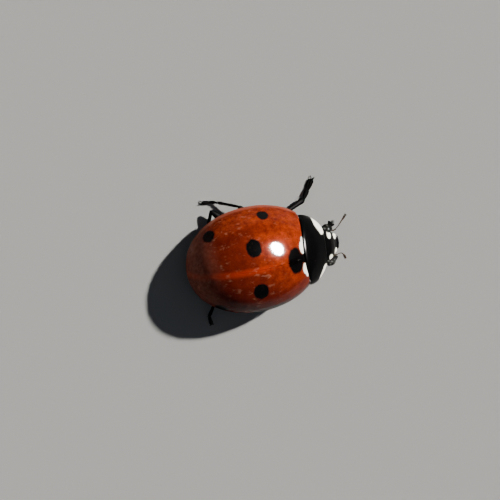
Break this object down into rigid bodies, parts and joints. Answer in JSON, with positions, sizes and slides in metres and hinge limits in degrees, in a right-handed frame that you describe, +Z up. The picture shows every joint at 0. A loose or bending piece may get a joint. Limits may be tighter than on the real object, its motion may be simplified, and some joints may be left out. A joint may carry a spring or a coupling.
{
  "type": "seven-spot ladybird",
  "caption": "Standing life-size seven-spot ladybird: domed red wing cases with black spots, black pronotum with white corners, small head with clubbed feelers, bent legs.",
  "frame": {"origin": "bottom centre of the bounding box, on the level floor that the feet stand on", "axes": "+Z up, -Y the way the ladybird faces, +X its left"},
  "size_m": [0.0066, 0.0088, 0.0035],
  "materials": {
    "wing_case": "glossy orange-red cuticle with black spots and a white mark at each side of the scutellum",
    "pronotum": "glossy black cuticle with creamy white front corners",
    "head": "finely pitted black cuticle with small creamy marks",
    "eye": "black faceted eye",
    "feeler": "dark brown, satin",
    "underside": "black cuticle, finely pitted, with short grey down",
    "leg": "black cuticle, satin"
  },
  "bodies": {
    "root": {"abdomen": "underside", "antenna_club_left": "feeler", "antenna_club_right": "feeler", "antenna_stalk_left": "feeler", "antenna_stalk_right": "feeler", "coxa_front_left": "leg", "coxa_front_right": "leg", "coxa_hind_left": "leg", "coxa_hind_right": "leg", "coxa_middle_left": "leg", "coxa_middle_right": "leg", "elytron_left": "wing_case", "elytron_right": "wing_case", "eye_left": "eye", "eye_right": "eye", "femur_front_left": "leg", "femur_front_right": "leg", "femur_hind_left": "leg", "femur_hind_right": "leg", "femur_middle_left": "leg", "femur_middle_right": "leg", "head": "head", "labrum": "head", "mandible_left": "head", "mandible_right": "head", "palp_left": "feeler", "palp_right": "feeler", "pronotum": "pronotum", "prothorax": "underside", "scutellum": "pronotum", "tarsus_front_left": "leg", "tarsus_front_right": "leg", "tarsus_hind_left": "leg", "tarsus_hind_right": "leg", "tarsus_middle_left": "leg", "tarsus_middle_right": "leg", "thorax": "underside", "tibia_front_left": "leg", "tibia_front_right": "leg", "tibia_hind_left": "leg", "tibia_hind_right": "leg", "tibia_middle_left": "leg", "tibia_middle_right": "leg"}
  },
  "joints": []
}
